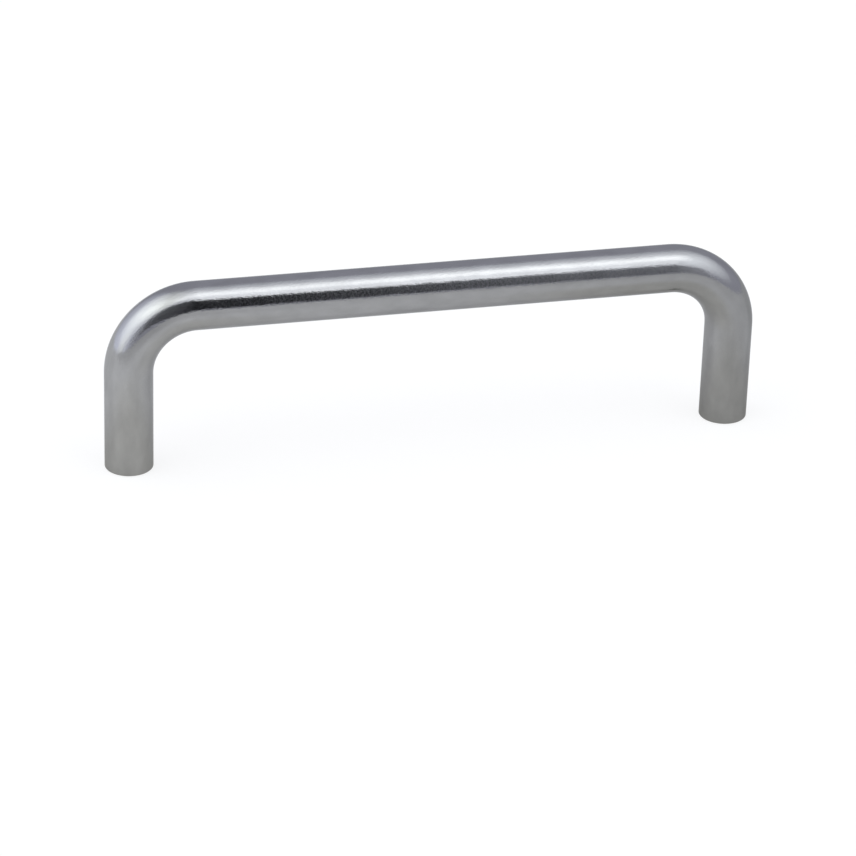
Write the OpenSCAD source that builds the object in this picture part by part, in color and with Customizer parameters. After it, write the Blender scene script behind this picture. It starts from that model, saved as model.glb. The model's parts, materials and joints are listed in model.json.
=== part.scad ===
// Wire drawer pull: one round steel wire bent into a U that stands on its two feet.
// The origin is on the drawer front, midway between the feet. +X runs along the grip
// and +Z away from the drawer. Each foot has a blind hole, tapped for a machine screw.

/* [Wire] */
// Diameter of the round wire
wire_d = 8; // [6:0.5:10]
// Radius on the inside of each bend
bend_inside_r = 7; // [4:0.5:9]
// Rounding of the edge where the wire is cut off at each foot
foot_round_r = 0.3; // [0.1:0.1:0.5]

/* [Pull] */
// Distance between the centres of the two screw holes
hole_spacing = 101.6; // [64:0.1:160]
// Height of the grip's outer side above the drawer front
projection = 32; // [28:0.5:45]

/* [Screw holes] */
// Outside diameter of the screw
screw_d = 4.17; // [3:0.01:4.2]
// Depth of the thread that the tap cuts into the wall of the hole
thread_depth = 0.36; // [0.2:0.02:0.5]
// Depth of the drilled hole, not counting the cone of the drill's point
hole_depth = 13; // [8:0.5:16]
// Room between the screw and the edge of the countersink, all round
mouth_margin = 0.2; // [0.1:0.05:0.3]
// Full angle of the countersink
mouth_angle = 90; // [80:1:120]
// Full angle of the drill's point
drill_point_angle = 118; // [90:1:140]

/* [Hidden] */
$fn = 96;

wire_r = wire_d / 2;
bend_r = bend_inside_r + wire_r; // to the middle of the wire
grip_z = projection - wire_r; // middle of the wire along the grip
leg_length = grip_z - bend_r; // straight part, from the foot to the bend
grip_half_length = hole_spacing / 2 - bend_r; // straight part, from a bend to the middle
grip_overlap = wire_r; // how far each half of the grip runs on past the middle

bore_r = screw_d / 2 - thread_depth; // at the crests of the thread
mouth_r = screw_d / 2 + mouth_margin;
mouth_depth = (mouth_r - bore_r) / tan(mouth_angle / 2);
point_depth = bore_r / tan(drill_point_angle / 2);
cut_over = 1; // how far a cut runs on past the surface it opens

// Half of the wire's section along a leg, drawn down from where the bend begins, with
// the edge of the foot rounded
module leg_profile() {
    edge_x = wire_r - foot_round_r;
    translate([0, -leg_length]) square([edge_x, leg_length]);
    translate([0, foot_round_r - leg_length]) square([wire_r, leg_length - foot_round_r]);
    translate([edge_x, foot_round_r - leg_length]) circle(r = foot_round_r);
}

// The leg, the bend and the grip's half meet in the planes through the bend's centre,
// which is the origin here
module leg() {
    translate([bend_r, 0, 0])
        rotate_extrude() leg_profile();
}

// Quarter of a ring that turns the wire from the leg into the grip
module bend() {
    rotate([90, 0, 0])
        rotate_extrude(angle = 90)
            translate([bend_r, 0]) circle(r = wire_r);
}

// Runs past the pull's middle, into the half that comes from the other side
module grip_half() {
    translate([0, 0, bend_r])
        rotate([0, -90, 0])
            cylinder(r = wire_r, h = grip_half_length + grip_overlap);
}

module side_of_wire() {
    translate([hole_spacing / 2 - bend_r, 0, leg_length]) {
        leg();
        bend();
        grip_half();
    }
}

// What the drill, the tap's crests and the countersink leave open in one foot
module screw_hole() {
    translate([0, 0, -cut_over]) cylinder(r = bore_r, h = hole_depth + cut_over);
    translate([0, 0, hole_depth]) cylinder(r1 = bore_r, r2 = 0, h = point_depth);
    countersink();
}

// The cone runs on below the foot at the same slope
module countersink() {
    over_r = cut_over * tan(mouth_angle / 2);
    translate([0, 0, -cut_over])
        cylinder(r1 = mouth_r + over_r, r2 = bore_r, h = mouth_depth + cut_over);
}

// Draws its child on the right, and again on the left, turned about the middle axis
module on_both_sides() {
    for (turn = [0, 180])
        rotate([0, 0, turn]) children();
}

module wire_pull() {
    color("silver")
        difference() {
            on_both_sides() side_of_wire();
            on_both_sides() translate([hole_spacing / 2, 0, 0]) screw_hole();
        }
}

wire_pull();
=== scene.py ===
import json
import math

import bmesh
import bpy
from mathutils import Matrix, Vector


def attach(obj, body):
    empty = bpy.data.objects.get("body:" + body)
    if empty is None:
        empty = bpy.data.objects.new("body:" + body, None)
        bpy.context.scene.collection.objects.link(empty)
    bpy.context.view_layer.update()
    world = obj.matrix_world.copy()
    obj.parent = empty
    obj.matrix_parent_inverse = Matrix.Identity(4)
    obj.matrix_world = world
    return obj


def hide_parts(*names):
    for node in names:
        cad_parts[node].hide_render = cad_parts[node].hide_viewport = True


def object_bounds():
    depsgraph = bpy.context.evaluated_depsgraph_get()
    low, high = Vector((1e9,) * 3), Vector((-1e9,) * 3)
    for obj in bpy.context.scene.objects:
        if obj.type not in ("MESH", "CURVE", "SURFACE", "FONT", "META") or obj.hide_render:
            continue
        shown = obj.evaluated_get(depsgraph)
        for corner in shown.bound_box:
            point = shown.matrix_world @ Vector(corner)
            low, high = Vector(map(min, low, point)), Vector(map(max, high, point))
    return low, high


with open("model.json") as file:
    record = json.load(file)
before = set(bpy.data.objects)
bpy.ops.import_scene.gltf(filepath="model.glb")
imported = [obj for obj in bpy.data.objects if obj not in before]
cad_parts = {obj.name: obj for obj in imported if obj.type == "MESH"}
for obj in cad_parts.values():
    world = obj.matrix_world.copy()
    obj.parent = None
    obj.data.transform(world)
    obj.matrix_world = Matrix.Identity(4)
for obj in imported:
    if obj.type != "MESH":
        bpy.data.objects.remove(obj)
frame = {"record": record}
cad_low, cad_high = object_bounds()

MM = 0.001
INCH = 25.4 * MM

# The wire, from the frame's box, its right screw hole and the inside radius of its bends
SCREW_HOLE = next(m for m in frame["record"]["mounts"] if m["name"] == "screw_hole_right")
LEG_X = SCREW_HOLE["pos_m"][0]
WIRE_RADIUS = cad_high.x - LEG_X
BEND_INSIDE_RADIUS = 7 * MM
BEND_RADIUS = BEND_INSIDE_RADIUS + WIRE_RADIUS
GRIP_Z = cad_high.z - WIRE_RADIUS
HALF_GRIP = LEG_X - BEND_RADIUS
LEG_LENGTH = GRIP_Z - BEND_RADIUS
FOOT_ROUNDING = 0.3 * MM

# The screw hole: the frame gives the thread's crests, and the rest is an 8-32 thread's
CREST_RADIUS = SCREW_HOLE["dims"]["r_mm"] * MM
THREAD_PITCH = INCH / 32
THREAD_DEPTH = 0.36 * MM
THREAD_ROOT_FLAT = THREAD_PITCH / 8
FLANK_ANGLE = math.radians(30)
MOUTH_MARGIN = 0.2 * MM
MOUTH_RADIUS = CREST_RADIUS + THREAD_DEPTH + MOUTH_MARGIN
MOUTH_DEPTH = MOUTH_RADIUS - CREST_RADIUS
HOLE_DEPTH = SCREW_HOLE["dims"]["length_mm"] * MM + MOUTH_DEPTH
DRILL_POINT_ANGLE = math.radians(118)
DRILL_POINT_DEPTH = CREST_RADIUS / math.tan(DRILL_POINT_ANGLE / 2)
THREAD_RUNOUT = 2.5 * THREAD_PITCH
THREAD_END = HOLE_DEPTH - THREAD_PITCH

# How finely the shapes are divided
AROUND_WIRE = 96
ALONG_LEG = 8
ALONG_BEND = 48
ALONG_HALF_GRIP = 20
ROUNDING_STEPS = 5
THREAD_STEPS = 64
SAME_POINT = 0.002 * MM
SHARP_EDGE = math.radians(32)

# The drawn grain: its share of the usual frequency along the wire, and a noise's usual range
ALONG_GRAIN = 0.45
NOISE_LOW = 0.3
NOISE_HIGH = 0.7

# The camera that fits the photo
VIEW_AZIMUTH = math.radians(-14.694)
VIEW_ELEVATION = math.radians(27.031)
VIEW_ROLL = math.radians(1.845)
VIEW_DISTANCE = 680.49 * MM
VIEW_TARGET = Vector((-0.502, 0, 2.131)) * MM
VIEW_LENS = 172.36
VIEW_SENSOR = 36

# The studio: the floor, a dark card, round softboxes and a pale room
FLOOR_SIZE = 6
FLOOR_GAP = 0.02 * MM
PAPER = 0.9
WHITE_SEEN = 0.8
WHITE_MIRRORED = 0.5

# What the metal mirrors of the floor, with painted light and shade. A level is how far along from
# the left end to the right end, and the painted brightness there, lighter on the left. Painted
# shadows darken it in front of each foot, at the front left and behind.
FLOOR_LEFT_END = -200 * MM
FLOOR_RIGHT_END = 130 * MM
PAINTED_FLOOR_LEVELS = (
    (0, 1.3),
    (0.37, 1.06),
    (0.42, 0.97),
    (0.5, 0.9),
    (0.61, 0.835),
    (0.71, 0.81),
    (0.78, 0.75),
    (1, 0.68),
)
# Painted shadow on the floor, round a place just in front of each foot
FOOT_SHADE = (0.85, 0.84, 0.80)
FOOT_SHADE_LEFT = 2 * MM
FOOT_SHADE_FORWARD = 12 * MM
FOOT_SHADE_FADE = (12 * MM, 40 * MM)
# Painted shade at the floor's front left, and a painted shadow behind the pull under the grip
CORNER_SHADE = 0.28
CORNER_SHADE_FRONT = (-30 * MM, -105 * MM)
CORNER_SHADE_LEFT = (10 * MM, -55 * MM)
BACK_SHADE = 0.09
BACK_SHADE_BEHIND = (-10 * MM, 4 * MM)

# A roll is an angle about the grip, 0 in front and 90 above, and a side leans it right. Each
# column of the card has its side, the rolls of its two ends and its grey, a painted shade that
# the metal mirrors. Each softbox has its roll, side, half spread and the radiance of its middle.
CARD_DISTANCE = 1.8
CARD_STEPS = 12
CARD_COLUMNS = (
    (-50, 8, 30, 0.93),
    (-40, 6, 38.5, 0.84),
    (-30, 10, 40, 0.31),
    (-20, 11, 47.5, 0.21),
    (-10, 7, 49.5, 0.18),
    (0, 0, 50, 0.14),
    (4, 1, 52, 0.07),
    (8, 3, 50, 0.01),
    (11, 5, 45, 0.10),
    (15, 4, 43.5, 0.34),
    (22, 1, 36, 0.54),
    (29, 2, 33, 0.64),
    (40, 4, 25, 0.71),
)
LAMP_DISTANCE = 2.2
SOFTBOXES = {
    "left_softbox": (85, -41, 45, (1.42, 1.48, 1.36)),
    "left_glow": (69.5, -29, 25, (0.68, 0.71, 0.65)),
    "right_softbox": (69, 27, 49.5, (1.33, 1.40, 1.42)),
    "top_softbox": (74, 14.5, 21, (1.21, 1.22, 1.20)),
    "ridge_softbox": (66, -4, 14, (0.75, 0.75, 0.74)),
    "window_softbox": (139, -76, 65, (0.76, 0.81, 0.94)),
    "low_softbox": (10, -76, 22, (0.44, 0.44, 0.30)),
    "strip_softbox": (50, 12.5, 8.5, (0.85, 0.85, 0.85)),
}
ROOM_COLOR = (0.54, 0.55, 0.64)

WIRE_SKIN, CUT_FOOT, TAPPED_WALL = range(3)


# Small helpers for edge rings

def corners_of(edges):
    return list({vert for edge in edges for vert in edge.verts})


def edges_among(verts):
    """The edges that have both ends among some verts."""
    chosen = set(verts)
    touching = {edge for vert in verts for edge in vert.link_edges}
    return [edge for edge in touching if set(edge.verts) <= chosen]


def verts_in(geom):
    return [item for item in geom if isinstance(item, bmesh.types.BMVert)]


def added(bm, before):
    """The vertices that weren't there before."""
    return [vert for vert in bm.verts if vert not in before]


def linked(verts):
    """Some vertices with the edges and faces that they carry."""
    return verts + edges_among(verts) + list({face for vert in verts for face in vert.link_faces})


def extrude_ring(bm, ring, move):
    """Draws a ring of edges out along a vector, and returns the ring at its far end."""
    verts = verts_in(bmesh.ops.extrude_edge_only(bm, edges=ring)["geom"])
    bmesh.ops.translate(bm, vec=move, verts=verts)
    return edges_among(verts)


def open_ring(bm, inside):
    """The open edges whose middle passes a test."""
    middles = {edge: (edge.verts[0].co + edge.verts[1].co) / 2 for edge in bm.edges if edge.is_boundary}
    return [edge for edge, middle in middles.items() if inside(middle)]


def chain(bm, points):
    """A chain of edges in the plane through a leg's axis; points are radius and height."""
    verts = [bm.verts.new((LEG_X + radius, 0, height)) for radius, height in points]
    return verts + [bm.edges.new(pair) for pair in zip(verts, verts[1:])]


# The wire

def leg_outline():
    """From the edge of the foot's flat, round its edge and up to the bend."""
    flat_edge = WIRE_RADIUS - FOOT_ROUNDING
    for step in range(ROUNDING_STEPS):
        angle = math.pi / 2 * step / ROUNDING_STEPS
        yield flat_edge + FOOT_ROUNDING * math.sin(angle), FOOT_ROUNDING * (1 - math.cos(angle))
    for step in range(ALONG_LEG + 1):
        yield WIRE_RADIUS, FOOT_ROUNDING + (LEG_LENGTH - FOOT_ROUNDING) * step / ALONG_LEG


def add_half_wire(bm):
    """The outside of one leg, its bend and half of the grip."""
    outline = chain(bm, leg_outline())
    bmesh.ops.spin(bm, geom=outline, cent=(LEG_X, 0, 0), axis=(0, 0, 1), dvec=(0, 0, 0),
                   angle=math.tau, steps=AROUND_WIRE, use_merge=True, use_duplicate=False)
    top = open_ring(bm, lambda middle: middle.z > LEG_LENGTH / 2)
    turned = bmesh.ops.spin(bm, geom=corners_of(top) + top, cent=(HALF_GRIP, 0, LEG_LENGTH),
                            axis=(0, -1, 0), dvec=(0, 0, 0), angle=math.pi / 2, steps=ALONG_BEND,
                            use_merge=False, use_duplicate=False)["geom_last"]
    ring = [item for item in turned if isinstance(item, bmesh.types.BMEdge)]
    for _ in range(ALONG_HALF_GRIP):
        ring = extrude_ring(bm, ring, (-HALF_GRIP / ALONG_HALF_GRIP, 0, 0))


# The tapped hole

def thread_outline(start):
    """One pitch of the thread: half a crest, a flank, the root, a flank and half a crest."""
    flank = THREAD_DEPTH * math.tan(FLANK_ANGLE)
    half_crest = (THREAD_PITCH - THREAD_ROOT_FLAT - 2 * flank) / 2
    root_radius = CREST_RADIUS + THREAD_DEPTH
    middle_radius = CREST_RADIUS + THREAD_DEPTH / 2
    steps = ((CREST_RADIUS, 0), (CREST_RADIUS, half_crest), (middle_radius, flank / 2),
             (root_radius, flank / 2), (root_radius, THREAD_ROOT_FLAT), (middle_radius, flank / 2),
             (CREST_RADIUS, flank / 2), (CREST_RADIUS, half_crest))
    height = start
    for radius, rise in steps:
        height += rise
        yield radius, height


def cut_radius(radius, height):
    """The thread's radius once the countersink has opened it and the tap has run out."""
    reach = min(max((THREAD_END - height) / THREAD_RUNOUT, 0), 1)
    tapped = CREST_RADIUS + (radius - CREST_RADIUS) * reach
    return max(tapped, MOUTH_RADIUS - height)


def add_screw_hole(bm):
    """A helical thread wound up the hole, trimmed at the foot, with a drill's point above it."""
    before = set(bm.verts)
    start = -2 * THREAD_PITCH
    turns = math.ceil((THREAD_END - start) / THREAD_PITCH) + 1
    outline = chain(bm, thread_outline(start))
    bmesh.ops.spin(bm, geom=outline, cent=(LEG_X, 0, 0), axis=(0, 0, 1),
                   dvec=(0, 0, THREAD_PITCH / THREAD_STEPS), angle=math.tau,
                   steps=THREAD_STEPS, use_merge=False, use_duplicate=False)
    first_turn = linked(added(bm, before))
    for turn in range(1, turns):
        copied = bmesh.ops.duplicate(bm, geom=first_turn)["geom"]
        bmesh.ops.translate(bm, vec=(0, 0, turn * THREAD_PITCH), verts=verts_in(copied))
    bmesh.ops.remove_doubles(bm, verts=added(bm, before), dist=SAME_POINT)
    for vert in added(bm, before):
        spoke = Vector((vert.co.x - LEG_X, vert.co.y, 0))
        vert.co += spoke.normalized() * (cut_radius(spoke.length, vert.co.z) - spoke.length)
    for height, side in ((0, -1), (THREAD_END, 1)):
        bmesh.ops.bisect_plane(bm, geom=linked(added(bm, before)), dist=SAME_POINT / 10,
                               plane_co=(0, 0, height), plane_no=(0, 0, side),
                               clear_outer=True, clear_inner=False)
    ring = open_ring(bm, lambda middle: abs(middle.z - THREAD_END) < SAME_POINT)
    ring = extrude_ring(bm, ring, (0, 0, HOLE_DEPTH - THREAD_END))
    ring = extrude_ring(bm, ring, (0, 0, 0))
    tip = (LEG_X, 0, HOLE_DEPTH + DRILL_POINT_DEPTH)
    bmesh.ops.pointmerge(bm, verts=corners_of(ring), merge_co=tip)


def close_foot(bm):
    """The flat of the foot, between the hole's mouth and the wire's rounded edge."""
    rim = open_ring(bm, lambda middle: abs(middle.z) < SAME_POINT)
    bmesh.ops.triangle_fill(bm, edges=rim, normal=(0, 0, -1), use_beauty=True, use_dissolve=False)


# The whole pull

def unbent(place):
    """Where a point was on the straight wire: along it from its middle, across, outward."""
    side = 1 if place.x > 0 else -1
    past_grip = abs(place.x) - HALF_GRIP
    past_leg = place.z - LEG_LENGTH
    if past_grip < 0:
        along, outward = abs(place.x), place.z - GRIP_Z
    elif past_leg < 0:
        along = HALF_GRIP + BEND_RADIUS * math.pi / 2 - past_leg
        outward = abs(place.x) - LEG_X
    else:
        along = HALF_GRIP + BEND_RADIUS * math.atan2(past_grip, past_leg)
        outward = math.hypot(past_grip, past_leg) - BEND_RADIUS
    return Vector((side * along, place.y, outward))


def surface_of(face):
    """Which of the three finishes a face of the pull has."""
    middle = face.calc_center_median()
    if math.hypot(abs(middle.x) - LEG_X, middle.y) < MOUTH_RADIUS and middle.z < LEG_LENGTH:
        return TAPPED_WALL
    return CUT_FOOT if middle.z < SAME_POINT else WIRE_SKIN


def build_pull(materials):
    bm = bmesh.new()
    add_half_wire(bm)
    add_screw_hole(bm)
    close_foot(bm)
    whole = bm.verts[:] + bm.edges[:] + bm.faces[:]
    copied = bmesh.ops.duplicate(bm, geom=whole)["geom"]
    bmesh.ops.rotate(bm, cent=(0, 0, 0), matrix=Matrix.Rotation(math.pi, 3, "Z"),
                     verts=verts_in(copied))
    bmesh.ops.remove_doubles(bm, verts=bm.verts[:], dist=SAME_POINT)
    bmesh.ops.recalc_face_normals(bm, faces=bm.faces[:])
    straight = bm.verts.layers.float_vector.new("unbent")
    for vert in bm.verts:
        vert[straight] = unbent(vert.co)
    for face in bm.faces:
        face.smooth = True
        face.material_index = surface_of(face)
    mesh = bpy.data.meshes.new("satin_wire")
    bm.to_mesh(mesh)
    bm.free()
    mesh.set_sharp_from_angle(angle=SHARP_EDGE)
    for material in materials:
        mesh.materials.append(material)
    pull = bpy.data.objects.new("satin_wire", mesh)
    bpy.context.scene.collection.objects.link(pull)
    return pull


# Node helpers

def new_group(name, inputs, outputs):
    """A shader node group; inputs are name, socket type and value, outputs name and type."""
    tree = bpy.data.node_groups.new(name, "ShaderNodeTree")
    for label, kind, value in inputs:
        socket = tree.interface.new_socket(label, in_out="INPUT", socket_type=kind)
        if value is not None:
            socket.default_value = value
    for label, kind in outputs:
        tree.interface.new_socket(label, in_out="OUTPUT", socket_type=kind)
    return tree, tree.nodes.new("NodeGroupInput").outputs, tree.nodes.new("NodeGroupOutput").inputs


def add_node(tree, kind, inputs=(), **settings):
    """A node with its settings, and each input given as a value or as a socket to link."""
    node = tree.nodes.new(kind)
    for key, value in settings.items():
        setattr(node, key, value)
    for name, value in dict(inputs).items():
        if isinstance(value, bpy.types.NodeSocket):
            tree.links.new(value, node.inputs[name])
        else:
            node.inputs[name].default_value = value
    return node


def stretched(tree, noise, low, high):
    """Turns the middle of a noise's range into the range from low to high."""
    node = add_node(tree, "ShaderNodeMapRange",
                    {"Value": noise, "From Min": NOISE_LOW, "From Max": NOISE_HIGH,
                     "To Min": low, "To Max": high})
    return node.outputs["Result"]


def mixed_vectors(tree, share, first, second):
    """A vector or colour that goes from the first to the second as a share rises from 0 to 1."""
    node = tree.nodes.new("ShaderNodeMix")
    node.data_type = "VECTOR"
    sockets = {socket.identifier: socket for socket in node.inputs[:] + node.outputs[:]}
    tree.links.new(share, sockets["Factor_Float"])
    for label, value in (("A_Vector", first), ("B_Vector", second)):
        if isinstance(value, bpy.types.NodeSocket):
            tree.links.new(value, sockets[label])
        else:
            sockets[label].default_value = value
    return sockets["Result_Vector"]


# Finishes

FLOAT, VECTOR = "NodeSocketFloat", "NodeSocketVector"


def grain_group():
    """Fine grain drawn out along the wire, over slower waves and clouding."""
    tree, given, results = new_group(
        "drawn_grain",
        (("Place", VECTOR, None), ("Grain Size", FLOAT, 0.2 * MM), ("Grain Depth", FLOAT, 0.004 * MM),
         ("Cloud Size", FLOAT, 2 * MM), ("Cloud Depth", FLOAT, 0.005 * MM),
         ("Rough Low", FLOAT, 0.2), ("Rough High", FLOAT, 0.3),
         ("Shade Low", FLOAT, 0.93), ("Shade High", FLOAT, 1.07)),
        (("Roughness", FLOAT), ("Shade", FLOAT), ("Normal", VECTOR)))
    drawn = add_node(tree, "ShaderNodeVectorMath", {0: given["Place"], 1: (ALONG_GRAIN, 1, 1)},
                     operation="MULTIPLY").outputs["Vector"]
    per_grain = add_node(tree, "ShaderNodeMath", {0: 1.0, 1: given["Grain Size"]},
                         operation="DIVIDE").outputs["Value"]
    per_cloud = add_node(tree, "ShaderNodeMath", {0: 1.0, 1: given["Cloud Size"]},
                         operation="DIVIDE").outputs["Value"]
    grain = add_node(tree, "ShaderNodeTexNoise", {"Vector": drawn, "Scale": per_grain,
                                                  "Detail": 2.0, "Roughness": 0.6}).outputs["Fac"]
    cloud = add_node(tree, "ShaderNodeTexNoise", {"Vector": drawn, "Scale": per_cloud,
                                                  "Detail": 3.0, "Roughness": 0.5}).outputs["Fac"]
    rough = stretched(tree, grain, given["Rough Low"], given["Rough High"])
    shade = stretched(tree, cloud, given["Shade Low"], given["Shade High"])
    waves = add_node(tree, "ShaderNodeBump", {"Strength": 1.0, "Distance": given["Cloud Depth"],
                                              "Height": cloud}).outputs["Normal"]
    bump = add_node(tree, "ShaderNodeBump", {"Strength": 1.0, "Distance": given["Grain Depth"],
                                             "Height": grain, "Normal": waves}).outputs["Normal"]
    tree.links.new(rough, results["Roughness"])
    tree.links.new(shade, results["Shade"])
    tree.links.new(bump, results["Normal"])
    return tree


def steel(name, grain, place, base, tint, **values):
    """A metal whose colour, roughness and relief come from the drawn grain."""
    material = bpy.data.materials.new(name)
    material.use_nodes = True
    tree = material.node_tree
    shader = tree.nodes["Principled BSDF"]
    shader.inputs["Metallic"].default_value = 1.0
    shader.inputs["Specular Tint"].default_value = (*tint, 1)
    source = tree.nodes.new("ShaderNodeGroup")
    source.node_tree = grain
    tree.links.new(place(tree), source.inputs["Place"])
    for label, value in values.items():
        source.inputs[label.replace("_", " ").title()].default_value = value
    shaded = add_node(tree, "ShaderNodeVectorMath", {0: base, "Scale": source.outputs["Shade"]},
                      operation="SCALE")
    tree.links.new(shaded.outputs["Vector"], shader.inputs["Base Color"])
    tree.links.new(source.outputs["Roughness"], shader.inputs["Roughness"])
    tree.links.new(source.outputs["Normal"], shader.inputs["Normal"])
    return material


def unbent_place(tree):
    return add_node(tree, "ShaderNodeAttribute", attribute_name="unbent").outputs["Vector"]


def object_place(tree):
    return add_node(tree, "ShaderNodeTexCoord").outputs["Object"]


def make_finishes():
    grain = grain_group()
    wire_skin = steel("satin_steel", grain, unbent_place, (0.36, 0.36, 0.36), (0.75, 0.75, 0.75),
                      grain_size=0.26 * MM, grain_depth=0.017 * MM, cloud_depth=0.008 * MM,
                      rough_low=0.09, rough_high=0.16)
    cut_foot = steel("cut_steel", grain, object_place, (0.42, 0.42, 0.42), (0.9, 0.9, 0.9),
                     grain_size=0.3 * MM, rough_low=0.25, rough_high=0.4)
    tapped_wall = steel("tapped_steel", grain, object_place, (0.38, 0.38, 0.37), (0.9, 0.9, 0.9),
                        grain_size=0.4 * MM, rough_low=0.2, rough_high=0.32)
    return wire_skin, cut_foot, tapped_wall


# The studio

def plain_material(name, color):
    material = bpy.data.materials.new(name)
    material.use_nodes = True
    shader = material.node_tree.nodes["Principled BSDF"]
    shader.inputs["Base Color"].default_value = (*color, 1)
    shader.inputs["Roughness"].default_value = 1.0
    shader.inputs["Specular IOR Level"].default_value = 0.0
    return material


def rising(tree, value, span):
    """Rises smoothly from 0 to 1 as a value goes from one end of a span to the other."""
    start, end = span
    return add_node(tree, "ShaderNodeMapRange", {"Value": value, "From Min": start, "From Max": end},
                    interpolation_type="SMOOTHSTEP").outputs["Result"]


def dimmed(tree, share, amount):
    """What is left of the light where a share of a shade, of that amount, lies over it."""
    return add_node(tree, "ShaderNodeMath", {0: share, 1: -amount, 2: 1.0},
                    operation="MULTIPLY_ADD").outputs["Value"]


def painted_light_across(tree, x):
    """The floor's painted brightness from left to right, lighter on the left as if lit from there."""
    along = add_node(tree, "ShaderNodeMapRange",
                     {"Value": x, "From Min": FLOOR_LEFT_END, "From Max": FLOOR_RIGHT_END})
    ramp = add_node(tree, "ShaderNodeValToRGB", {"Fac": along.outputs["Result"]})
    stops = ramp.color_ramp.elements
    stops.remove(stops[1])
    for position, level in PAINTED_FLOOR_LEVELS:
        stops.new(position).color = (level, level, level, 1)
    stops.remove(stops[0])
    ramp.color_ramp.interpolation = "CARDINAL"
    return ramp.outputs["Color"]


def foot_shade(tree, x, y):
    """A painted shadow, darker round a place just in front of each foot."""
    side = add_node(tree, "ShaderNodeMath", {0: x}, operation="SIGN").outputs["Value"]
    lean = add_node(tree, "ShaderNodeMath", {0: side, 1: FOOT_SHADE_LEFT, 2: -LEG_X},
                    operation="MULTIPLY_ADD").outputs["Value"]
    to_middle = add_node(tree, "ShaderNodeMath", {0: x}, operation="ABSOLUTE").outputs["Value"]
    across = add_node(tree, "ShaderNodeMath", {0: to_middle, 1: lean}, operation="ADD").outputs["Value"]
    forward = add_node(tree, "ShaderNodeMath", {0: y, 1: FOOT_SHADE_FORWARD},
                       operation="ADD").outputs["Value"]
    spoke = add_node(tree, "ShaderNodeCombineXYZ", {"X": across, "Y": forward}).outputs["Vector"]
    away = add_node(tree, "ShaderNodeVectorMath", {0: spoke}, operation="LENGTH").outputs["Value"]
    return mixed_vectors(tree, rising(tree, away, FOOT_SHADE_FADE), FOOT_SHADE, (1, 1, 1))


def painted_mirrored_floor(tree):
    """How bright the floor is in reflections, with painted light and shade on it."""
    place = add_node(tree, "ShaderNodeSeparateXYZ", {0: object_place(tree)}).outputs
    x, y = place["X"], place["Y"]
    near_feet = add_node(tree, "ShaderNodeVectorMath",
                         {0: painted_light_across(tree, x), 1: foot_shade(tree, x, y)},
                         operation="MULTIPLY").outputs["Vector"]
    # Painted shade at the front left and a painted shadow behind the pull
    corner = add_node(tree, "ShaderNodeMath",
                      {0: rising(tree, y, CORNER_SHADE_FRONT), 1: rising(tree, x, CORNER_SHADE_LEFT)},
                      operation="MULTIPLY").outputs["Value"]
    kept = add_node(tree, "ShaderNodeMath",
                    {0: dimmed(tree, corner, CORNER_SHADE),
                     1: dimmed(tree, rising(tree, y, BACK_SHADE_BEHIND), BACK_SHADE)},
                    operation="MULTIPLY").outputs["Value"]
    return add_node(tree, "ShaderNodeVectorMath", {0: near_feet, "Scale": kept},
                    operation="SCALE").outputs["Vector"]


def floor_material():
    """White paper with a faint shadow, clear from below, and painted light and shade in reflections."""
    material = plain_material("white_floor", (PAPER, PAPER, PAPER))
    tree = material.node_tree
    paper = tree.nodes["Principled BSDF"]
    path = tree.nodes.new("ShaderNodeLightPath").outputs
    mirrored = add_node(tree, "ShaderNodeMath",
                        {0: path["Is Glossy Ray"], 1: path["Is Transmission Ray"]},
                        operation="MAXIMUM").outputs["Value"]
    seen = add_node(tree, "ShaderNodeMath", {0: path["Is Camera Ray"], 1: mirrored},
                    operation="MAXIMUM").outputs["Value"]
    # Mirrored rays see the floor's painted light and shade, and camera rays see it plain white
    level = mixed_vectors(tree, mirrored, (1, 1, 1), painted_mirrored_floor(tree))
    share = add_node(tree, "ShaderNodeMix", {"Factor": mirrored, "A": WHITE_SEEN, "B": WHITE_MIRRORED},
                     data_type="FLOAT").outputs["Result"]
    paper_color = add_node(tree, "ShaderNodeVectorMath", {0: level, "Scale": PAPER},
                           operation="SCALE").outputs["Vector"]
    tree.links.new(paper_color, paper.inputs["Base Color"])
    white = add_node(tree, "ShaderNodeEmission", {"Color": level})
    fill = add_node(tree, "ShaderNodeMath", {0: seen, 1: share}, operation="MULTIPLY").outputs["Value"]
    front = add_node(tree, "ShaderNodeMixShader",
                     {"Fac": fill, 1: paper.outputs[0], 2: white.outputs[0]})
    behind = add_node(tree, "ShaderNodeNewGeometry").outputs["Backfacing"]
    clear = tree.nodes.new("ShaderNodeBsdfTransparent")
    both = add_node(tree, "ShaderNodeMixShader",
                    {"Fac": behind, 1: front.outputs[0], 2: clear.outputs[0]})
    tree.links.new(both.outputs[0], tree.nodes["Material Output"].inputs["Surface"])
    return material


def stage_object(name, bm, material):
    """A finished bmesh as a part of the studio."""
    mesh = bpy.data.meshes.new(name)
    bm.to_mesh(mesh)
    bm.free()
    mesh.materials.append(material)
    thing = bpy.data.objects.new(name, mesh)
    bpy.context.scene.collection.objects.link(thing)
    return thing


def add_floor():
    bm = bmesh.new()
    bmesh.ops.create_grid(bm, x_segments=1, y_segments=1, size=FLOOR_SIZE / 2,
                          matrix=Matrix.Translation((0, 0, -FLOOR_GAP)))
    stage_object("floor", bm, floor_material())


def towards(roll, side):
    """A direction: roll is 0 in front of the grip, 90 above and 180 behind; side leans it right."""
    roll, side = math.radians(roll), math.radians(side)
    return Vector((math.sin(side), -math.cos(roll) * math.cos(side), math.sin(roll) * math.cos(side)))


def card_material():
    """Paper whose grey, a painted shade, is stored on the card's corners."""
    material = plain_material("shaded_card", (0, 0, 0))
    tree = material.node_tree
    grey = add_node(tree, "ShaderNodeAttribute", attribute_name="grey").outputs["Fac"]
    tree.links.new(grey, tree.nodes["Principled BSDF"].inputs["Base Color"])
    return material


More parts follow.
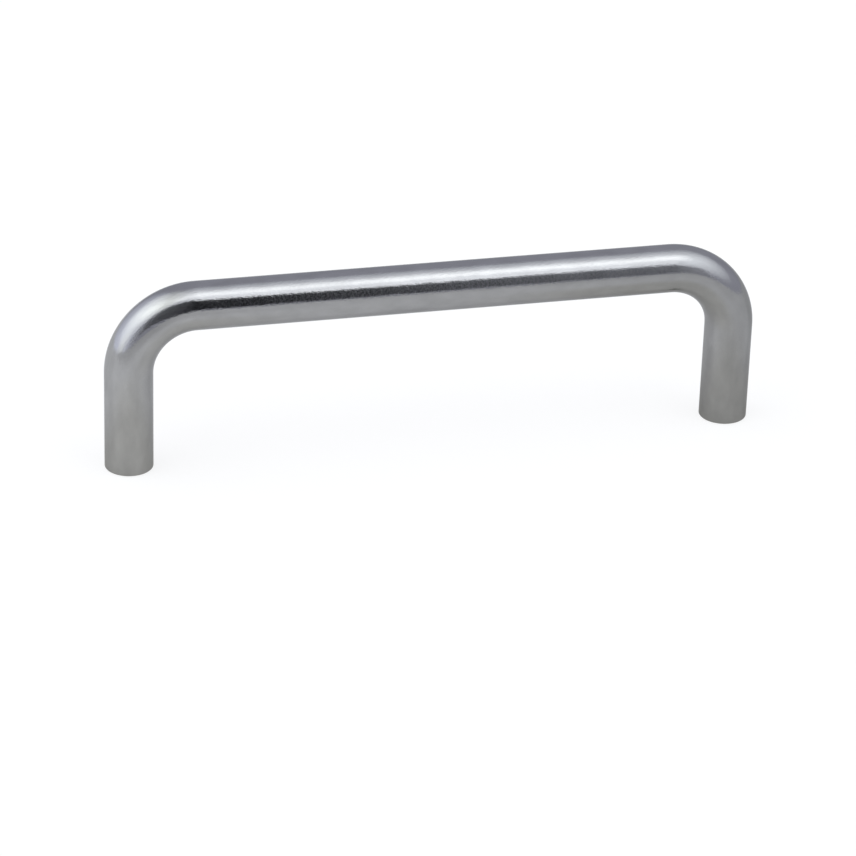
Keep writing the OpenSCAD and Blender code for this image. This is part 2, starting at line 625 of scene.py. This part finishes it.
def add_dark_card():
    """A curved dark card above the camera, painted shade standing in for the dark room there, whose
    reflection is the dark line along the grip.
    """
    bm = bmesh.new()
    grey = bm.verts.layers.float.new("grey")
    last = len(CARD_COLUMNS) - 1
    bmesh.ops.create_grid(bm, x_segments=last, y_segments=CARD_STEPS, size=0.5)
    bmesh.ops.translate(bm, vec=(0.5, 0.5, 0), verts=bm.verts[:])
    for vert in bm.verts:
        side, bottom, top, vert[grey] = CARD_COLUMNS[round(vert.co.x * last)]
        roll = math.radians(bottom + (top - bottom) * vert.co.y)
        reach = math.tan(math.radians(side))
        vert.co = CARD_DISTANCE * Vector((reach, -math.cos(roll), math.sin(roll)))
    card = stage_object("dark_card", bm, card_material())
    card.visible_camera = False


def add_softbox(name, roll, side, half_spread, radiance):
    """A round lamp over the pull that fades from its middle, of that radiance, to its edge."""
    half_spread = math.radians(half_spread)
    radius = LAMP_DISTANCE * math.tan(half_spread)
    brightest = max(radiance)
    data = bpy.data.lights.new(name, "AREA")
    data.shape = "DISK"
    data.size = 2 * radius
    data.spread = 2 * half_spread
    data.color = [part / brightest for part in radiance]
    gathered = 1 - half_spread / math.tan(half_spread)
    area = math.pi * radius ** 2
    data.energy = brightest * math.pi * area * gathered
    lamp = bpy.data.objects.new(name, data)
    place = LAMP_DISTANCE * towards(roll, side)
    turn = place.to_track_quat("Z", "Y").to_matrix().to_4x4()
    lamp.matrix_world = Matrix.Translation(place) @ turn
    lamp.visible_camera = False
    bpy.context.scene.collection.objects.link(lamp)


def build_studio():
    add_floor()
    add_dark_card()
    for name, (roll, side, half_spread, radiance) in SOFTBOXES.items():
        add_softbox(name, roll, side, half_spread, radiance)
    world = bpy.data.worlds.new("pale_room")
    world.use_nodes = True
    world.node_tree.nodes["Background"].inputs["Color"].default_value = (*ROOM_COLOR, 1)
    bpy.context.scene.world = world


def add_camera():
    back = Vector((math.sin(VIEW_AZIMUTH) * math.cos(VIEW_ELEVATION),
                   -math.cos(VIEW_AZIMUTH) * math.cos(VIEW_ELEVATION),
                   math.sin(VIEW_ELEVATION)))
    right = Vector((0, 0, 1)).cross(back).normalized()
    up = back.cross(right)
    turn = Matrix((right, up, back)).transposed() @ Matrix.Rotation(VIEW_ROLL, 3, "Z")
    data = bpy.data.cameras.new("camera")
    data.sensor_width = VIEW_SENSOR
    data.lens = VIEW_LENS
    camera = bpy.data.objects.new("camera", data)
    camera.matrix_world = Matrix.Translation(VIEW_TARGET + back * VIEW_DISTANCE) @ turn.to_4x4()
    bpy.context.scene.collection.objects.link(camera)
    bpy.context.scene.camera = camera


add_camera()
build_studio()
pull = build_pull(make_finishes())
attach(pull, "root")
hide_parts("wire_pull")
bpy.context.scene.view_settings.view_transform = "Standard"
